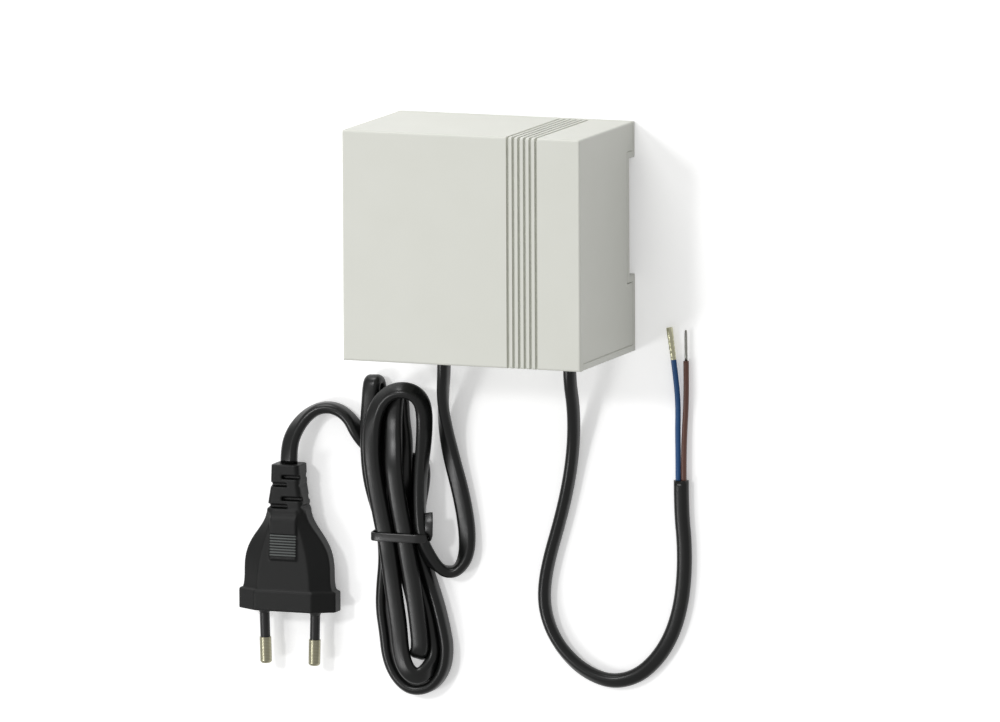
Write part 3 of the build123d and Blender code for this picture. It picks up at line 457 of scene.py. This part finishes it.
def lay_apart(route, wide, thick):
    """Route of a flat cord whose passes are moved apart until they lie beside each other."""
    chosen = np.array([row[:3] for row in route])
    places = chosen.copy()
    free = np.ones((len(route), 1))
    free[:LAY_FIXED_FIRST] = 0
    free[-LAY_FIXED_LAST:] = 0
    even = np.linspace(0, len(route) - 2, LAY_FINE, endpoint=False)
    fine = line_shares(even, len(route))
    for _ in range(LAY_ROUNDS):
        walk = np.linalg.norm(np.diff(fine @ places, axis=0), axis=1)
        gone = np.concatenate(([0], np.cumsum(walk)))
        samples = np.interp(np.arange(0, gone[-1], LAY_STEP), gone, even)
        shares = line_shares(samples, len(route))
        rows = [(*place, row[3]) for place, row in zip(places, route)]
        centres = shares @ places
        along = unit(np.gradient(centres, axis=0))
        axes = shares @ np.array([tuple(axis) for axis in wide_axes(rows)])
        axes = unit(axes - along * (axes * along).sum(axis=1, keepdims=True))
        first, second, push = touching(centres, axes, wide, thick)
        shift = np.zeros_like(centres)
        np.add.at(shift, first, push)
        np.add.at(shift, second, -push)
        meets = np.bincount(np.concatenate((first, second)), minlength=len(centres))
        shift /= np.maximum(meets, 1)[:, None]
        bottom = centres[:, 2] - thick / 2 - (wide - thick) / 2 * abs(axes[:, 2])
        shift[:, 2] += np.maximum(LAY_FLOOR - bottom, 0)
        moves = shares.T @ shift / shares.sum(axis=0)[:, None]
        places += (moves * LAY_PUSH + (chosen - places) * LAY_PULL) * free
    return [(*place, row[3]) for place, row in zip(places.tolist(), route)]


def flat_tube(name, route, wide, thick, steps):
    """Mesh with a flat round-ended section that follows a route, and its middle line."""
    places = [Vector(row[:3]) for row in route]
    edges = [place + axis * wide for place, axis in zip(places, wide_axes(route))]
    middle = spline_line(places, steps)
    rim = spline_line(edges, steps)
    spread = (wide - thick) / 2
    # Half a step of turn keeps the corners of the ring off the line between its two halves.
    half_step = Matrix.Rotation(pi / SECTION_SIDES, 4, "Z")
    last = len(middle) - 1
    bm = bmesh.new()
    before = []
    for index, centre in enumerate(middle):
        along = (middle[min(index + 1, last)] - middle[max(index - 1, 0)]).normalized()
        across = rim[index] - centre
        across = (across - along * across.dot(along)).normalized()
        up = along.cross(across)
        circle = bmesh.ops.create_circle(
            bm, segments=SECTION_SIDES, radius=thick / 2, matrix=half_step
        )
        ring = circle["verts"]
        for vertex in ring:
            vertex.co.x += copysign(spread, vertex.co.x)
        turn = Matrix((across, up, along)).transposed().to_4x4()
        bmesh.ops.transform(bm, matrix=Matrix.Translation(centre) @ turn, verts=ring)
        edge_ring = list({edge for vertex in ring for edge in vertex.link_edges})
        if before:
            bmesh.ops.bridge_loops(bm, edges=before + edge_ring)
        if index in (0, last):
            bmesh.ops.edgeloop_fill(bm, edges=edge_ring)
        before = edge_ring
    bmesh.ops.recalc_face_normals(bm, faces=bm.faces)
    for face in bm.faces:
        face.smooth = len(face.verts) == 4
    mesh = bpy.data.meshes.new(name)
    bm.to_mesh(mesh)
    bm.free()
    return mesh, middle


def round_cord(name, route, diameter, material, replaced):
    """Round cord as a curve of one spline."""
    curve = bpy.data.curves.new(name, "CURVE")
    curve.dimensions = "3D"
    fill_spline(curve, route, WIRE_STEPS)
    curve.bevel_depth = diameter / 2
    curve.bevel_resolution = WIRE_BEVEL
    curve.use_fill_caps = True
    piece = new_piece(name, curve, material)
    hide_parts(replaced)
    return piece


def finish_mesh(name, bm, material, slot, *replaced):
    """Turns the faces of a mesh outwards and makes it a piece."""
    bmesh.ops.recalc_face_normals(bm, faces=bm.faces)
    for face in bm.faces:
        face.smooth = True
    mesh = bpy.data.meshes.new(name)
    bm.to_mesh(mesh)
    bm.free()
    piece = new_piece(name, mesh, material)
    if replaced:
        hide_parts(*replaced)
    return piece


def turned_end(name, profile, route, material, slot, replaced):
    """Metal end turned round the line on which its wire leaves off."""
    root = Vector(route[-1])
    along = (root - Vector(route[-2])).normalized()
    bm = bmesh.new()
    points = [bm.verts.new((radius * MM, 0, place * MM)) for radius, place in profile]
    edges = [bm.edges.new(pair) for pair in zip(points, points[1:])]
    bmesh.ops.spin(
        bm,
        geom=points + edges,
        cent=(0, 0, 0),
        axis=(0, 0, 1),
        angle=2 * pi,
        steps=TURN_STEPS,
        use_merge=True,
    )
    bmesh.ops.remove_doubles(bm, verts=bm.verts, dist=MERGE_GAP)
    bmesh.ops.holes_fill(bm, edges=[edge for edge in bm.edges if edge.is_boundary])
    turn = along.to_track_quat("Z", "Y").to_matrix().to_4x4()
    bmesh.ops.transform(bm, matrix=Matrix.Translation(root) @ turn, verts=bm.verts)
    return finish_mesh(name, bm, material, slot, replaced)


def soft_moulding(name, node, voxel, material, slot):
    """The plug's CAD node with every edge rounded and a sleeve that narrows towards the lead."""
    bm = bmesh.new()
    bm.from_mesh(NODES[node].data)
    bmesh.ops.remove_doubles(bm, verts=bm.verts, dist=MERGE_GAP)
    piece = finish_mesh(name, bm, material, slot, node)
    remesh = piece.modifiers.new("even_faces", "REMESH")
    remesh.mode = "VOXEL"
    remesh.voxel_size = voxel
    remesh.use_smooth_shade = True
    smooth = piece.modifiers.new("rounded_edges", "SMOOTH")
    smooth.factor = SMOOTH_SHARE
    smooth.iterations = SMOOTH_ROUNDS
    depsgraph = bpy.context.evaluated_depsgraph_get()
    rounded = bpy.data.meshes.new_from_object(piece.evaluated_get(depsgraph))
    piece.modifiers.clear()
    for vertex in rounded.vertices:
        share = min(max((vertex.co.y - SLEEVE_FOOT_Y) / SLEEVE_TAPER, 0), 1)
        vertex.co.x += (PLUG_X - vertex.co.x) * SLEEVE_NARROWING * share
    piece.data = rounded
    return piece


def grip_ribs():
    """Ribs across the thumb pad of the plug, each with rounded edges."""
    bm = bmesh.new()
    for index in range(RIB_COUNT):
        top = RIB_TOP + index * RIB_RISE
        place = (PLUG_X, RIB_FIRST_Y - index * RIB_PITCH, top - RIB_HEIGHT / 2)
        size = Matrix.Diagonal((RIB_LENGTH, RIB_WIDTH, RIB_HEIGHT, 1))
        bmesh.ops.create_cube(bm, size=1, matrix=Matrix.Translation(place) @ size)
    bmesh.ops.bevel(
        bm,
        geom=list(bm.edges),
        offset=RIB_EDGE,
        offset_type="OFFSET",
        segments=2,
        profile=0.5,
        affect="EDGES",
        material=-1,
    )
    # The ribs take the lighter grey of the painted highlight on their tops.
    return finish_mesh("grip_ribs", bm, pvc_ribs_painted_highlight, "black_plug")


def make_floor():
    """Floor that takes the object's shadow and is white wherever the camera sees it bare."""
    bm = bmesh.new()
    bmesh.ops.create_grid(bm, x_segments=FLOOR_CELLS, y_segments=FLOOR_CELLS, size=FLOOR_SIZE / 2)
    bmesh.ops.translate(bm, vec=(0, 0, -FLOOR_DROP), verts=bm.verts)
    mesh = bpy.data.meshes.new("floor")
    bm.to_mesh(mesh)
    bm.free()
    floor = bpy.data.objects.new("floor", mesh)
    bpy.context.scene.collection.objects.link(floor)
    paint, tree, shader, _ = start_material("matt_white_paint", Roughness=FLOOR_ROUGHNESS)
    rays = add_node(tree, "ShaderNodeLightPath").outputs
    direct = add_node(
        tree,
        "ShaderNodeMath",
        {"operation": "MAXIMUM"},
        {0: rays["Is Camera Ray"], 1: rays["Is Glossy Ray"]},
    )
    white = add_node(
        tree,
        "ShaderNodeMath",
        {"operation": "MAXIMUM"},
        {0: direct.outputs[0], 1: rays["Is Transmission Ray"]},
    ).outputs[0]
    tint = add_node(
        tree,
        "ShaderNodeMix",
        {"data_type": "RGBA"},
        {"Factor": white, "A": (FLOOR_PALE, FLOOR_PALE, FLOOR_PALE, 1), "B": WHITE},
    )
    glow = add_node(
        tree,
        "ShaderNodeMath",
        {"operation": "MULTIPLY"},
        {0: white, 1: FLOOR_GLOW},
    )
    tree.links.new(tint.outputs["Result"], shader.inputs["Base Color"])
    tree.links.new(glow.outputs[0], shader.inputs["Emission Strength"])
    shader.inputs["Emission Color"].default_value = WHITE
    shader.inputs["Specular IOR Level"].default_value = 0
    mesh.materials.append(paint)
    return floor


def make_world():
    """Even white light from all round."""
    world = bpy.data.worlds.new("studio")
    world.use_nodes = True
    sky = world.node_tree.nodes["Background"]
    sky.inputs["Color"].default_value = WHITE
    sky.inputs["Strength"].default_value = WORLD_LEVEL
    bpy.context.scene.world = world


def add_lamp(name, offset, size, watts):
    """Soft lamp that points at the object and does not show itself."""
    data = bpy.data.lights.new(name, "AREA")
    data.shape = "RECTANGLE"
    data.size, data.size_y = size
    data.energy = watts
    lamp = bpy.data.objects.new(name, data)
    place = AIM + Vector(offset)
    turn = (place - AIM).to_track_quat("Z", "Y").to_matrix().to_4x4()
    lamp.matrix_world = Matrix.Translation(place) @ turn
    lamp.visible_camera = False
    bpy.context.scene.collection.objects.link(lamp)


make_camera()

# ABS, injection moulded against a spark-eroded tool: an even fine grain, half gloss.
abs_grey = grained(
    "light_grey_abs_moulded", "D9DAD1", "DDDED6",
    roughness=0.42, grain_mm=0.5, depth_mm=0.012, spread=0.05,
)
# Plasticised PVC, extruded: smooth and a little oily, with slight waviness.
pvc_black = grained(
    "black_pvc_jacket", "0D0E0E", "131413",
    roughness=0.3, grain_mm=1.2, depth_mm=0.005, spread=0.05, IOR=1.43,
)
# Soft PVC, moulded round the pins and the cord: duller than the jacket.
pvc_plug = grained(
    "black_pvc_plug", "090A0A", "0E0F0E",
    roughness=0.46, grain_mm=0.5, depth_mm=0.01, spread=0.06, IOR=1.34,
)
# The same compound on the grip ribs, painted a lighter grey as a painted highlight where their
# tops catch the light, and quite matt.
pvc_ribs_painted_highlight = grained(
    "black_pvc_ribs_painted_highlight", "4A4E4D", "585C5A",
    roughness=0.6, grain_mm=0.4, depth_mm=0.02, spread=0.06,
)
# Chloroprene rubber, moulded: dull and close to black.
rubber_bush = grained(
    "black_rubber_bush", "121212", "191918",
    roughness=0.6, grain_mm=0.5, depth_mm=0.02, spread=0.08,
)
# Polyethylene strap round a stiff wire: smooth, with a narrow bright line.
tie_plastic = grained(
    "black_polyethylene_strap", "151515", "1C1C1C",
    roughness=0.3, grain_mm=0.8, depth_mm=0.02, spread=0.06,
)
# Polyamide, moulded over the pins: black and smooth, with little gloss.
sleeve_plastic = grained(
    "black_polyamide_sleeve", "161616", "1B1B1B",
    roughness=0.4, grain_mm=0.5, depth_mm=0.01, spread=0.05,
)
# Brass with a nickel plating, turned: a warm grey metal with fine lines round it.
pin_metal = striped(
    "nickel_plated_brass_turned", "918E76", "B3B09A",
    roughness=0.36, pitch_mm=0.5, axis="Y", depth_mm=0.001, Metallic=1,
)
# Blue and brown core insulation, extruded PVC: saturated, half gloss.
pvc_blue = grained(
    "blue_pvc_insulation", "12487A", "184F86",
    roughness=0.34, grain_mm=0.8, depth_mm=0.006, spread=0.05,
)
pvc_brown = grained(
    "brown_pvc_insulation", "5A3A2F", "674438",
    roughness=0.34, grain_mm=0.8, depth_mm=0.006, spread=0.05,
)
# Copper with tin plating, crimped: a yellowish grey metal.
tinned_crimp = grained(
    "tinned_copper_crimped", "BDBB9C", "D6D4BA",
    roughness=0.3, grain_mm=0.7, depth_mm=0.12, Metallic=1,
)
# Fine copper strands dipped in solder: a bright grey metal, slightly lumpy.
solder_dip = grained(
    "solder_dipped_strands", "8C8C86", "A9A9A4",
    roughness=0.3, grain_mm=0.5, depth_mm=0.02, Metallic=1,
)
# Mild steel screws, zinc plated: a cool bright grey.
screw_zinc = grained(
    "zinc_plated_steel", "A6A8AA", "BEC0C1",
    roughness=0.34, grain_mm=0.4, depth_mm=0.01, Metallic=1,
)
# Silicon steel sheets, stamped and stacked: a line for each sheet's edge.
core_sheets = striped(
    "laminated_silicon_steel", "4B4E52", "7B7F83",
    roughness=0.45, pitch_mm=1.0, axis="Z", depth_mm=0.05, Metallic=1,
)
# Glass-filled polyamide, moulded: dark and dull with visible flow.
bobbin_plastic = grained(
    "glass_filled_polyamide", "232323", "2B2B2B",
    roughness=0.55, grain_mm=0.6, depth_mm=0.03,
)
# Brass pins, tinned: a soft bright grey.
pin_tinned = grained(
    "tinned_brass_pins", "B0B0AB", "C4C4BF",
    roughness=0.3, grain_mm=0.4, depth_mm=0.01, Metallic=1,
)
# Enamelled copper wire, wound in layers: a line for each turn.
copper_turns = striped(
    "enamelled_copper_wire", "7A3B1E", "B5683A",
    roughness=0.28, pitch_mm=0.6, axis="Y", depth_mm=0.12, Metallic=1,
)
# Polyester film tape with adhesive: yellow, glossy, with lapped edges.
coil_film = striped(
    "polyester_film_tape", "C9A227", "D8B23A",
    roughness=0.25, pitch_mm=9.0, axis="Y", depth_mm=0.05,
)
# Phenolic case of the fuse: dull and pale.
fuse_phenolic = grained(
    "phenolic_fuse_case", "BFC3BE", "CDD0CB",
    roughness=0.5, grain_mm=0.5, depth_mm=0.02,
)
# Polyamide clamp bars, moulded: milky and half dull.
clamp_polyamide = grained(
    "natural_polyamide_clamp", "CFCDBF", "DCDACD",
    roughness=0.5, grain_mm=0.5, depth_mm=0.02,
)

FINISHES = {
    abs_grey: ("housing_base", "housing_cover"),
    screw_zinc: ("cover_screws", "clamp_screws", "core_screws"),
    rubber_bush: ("mains_grommet", "output_grommet"),
    pvc_black: (
        "mains_cord_tail",
        "output_cable_tail",
        "mains_cord",
        "cord_hank",
        "plug_lead",
        "output_cable",
    ),
    clamp_polyamide: ("mains_clamp", "output_clamp"),
    core_sheets: ("core_e_stack", "core_i_stack"),
    bobbin_plastic: ("coil_bobbin",),
    pin_tinned: ("bobbin_pins",),
    copper_turns: ("primary_winding", "secondary_winding"),
    coil_film: ("primary_tape", "secondary_tape"),
    fuse_phenolic: ("thermal_fuse",),
    tie_plastic: ("hank_tie",),
    pvc_plug: ("plug_body",),
    pin_metal: ("plug_pin_left", "plug_pin_right"),
    sleeve_plastic: ("pin_sleeve_left", "pin_sleeve_right"),
    pvc_blue: ("blue_wire", "mains_wire_blue", "output_wire_blue"),
    pvc_brown: ("brown_wire", "mains_wire_brown", "output_wire_brown"),
    tinned_crimp: ("blue_ferrule",),
    solder_dip: ("brown_pin",),
}
for finish, names in FINISHES.items():
    for name in names:
        for slot in NODES[name].material_slots:
            slot.material = finish

plug_moulding = soft_moulding(
    "plug_moulding", "plug_body", PLUG_VOXEL, pvc_plug, "black_plug"
)
ribs = grip_ribs()
tie_mesh, _ = flat_tube("tie_strap", TIE_ROUTE, TIE_WIDE, TIE_THICK, TIE_STEPS)
tie_strap = new_piece("tie_strap", tie_mesh, tie_plastic)
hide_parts("hank_tie")
ferrule = turned_end(
    "crimped_ferrule", FERRULE_PROFILE, BLUE_ROUTE, tinned_crimp, "ferrule_metal", "blue_ferrule"
)
dipped_end = turned_end(
    "dipped_wire_end", STRAND_PROFILE, BROWN_ROUTE, solder_dip, "contact_metal", "brown_pin"
)

lead_route = lay_apart(LEAD_ROUTE, LEAD_WIDE, LEAD_THICK)
lead_mesh, lead_line = flat_tube("mains_lead", lead_route, LEAD_WIDE, LEAD_THICK, LEAD_STEPS)
mains_lead = new_piece("mains_lead", lead_mesh, pvc_black)
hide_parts("mains_cord", "cord_hank", "plug_lead")

output_mesh, output_line = flat_tube(
    "output_cord", OUTPUT_ROUTE, OUTPUT_WIDE, OUTPUT_THICK, OUTPUT_STEPS
)
output_cord = new_piece("output_cord", output_mesh, pvc_black)
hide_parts("output_cable")
blue_core = round_cord(
    "blue_core", BLUE_ROUTE, WIRE_DIAMETER, pvc_blue, "blue_wire"
)
brown_core = round_cord(
    "brown_core", BROWN_ROUTE, WIRE_DIAMETER, pvc_brown, "brown_wire"
)

floor = make_floor()
make_world()
for name, (offset, size, watts) in LAMPS.items():
    add_lamp(name, offset, size, watts)

bpy.context.scene.view_settings.view_transform = "Standard"
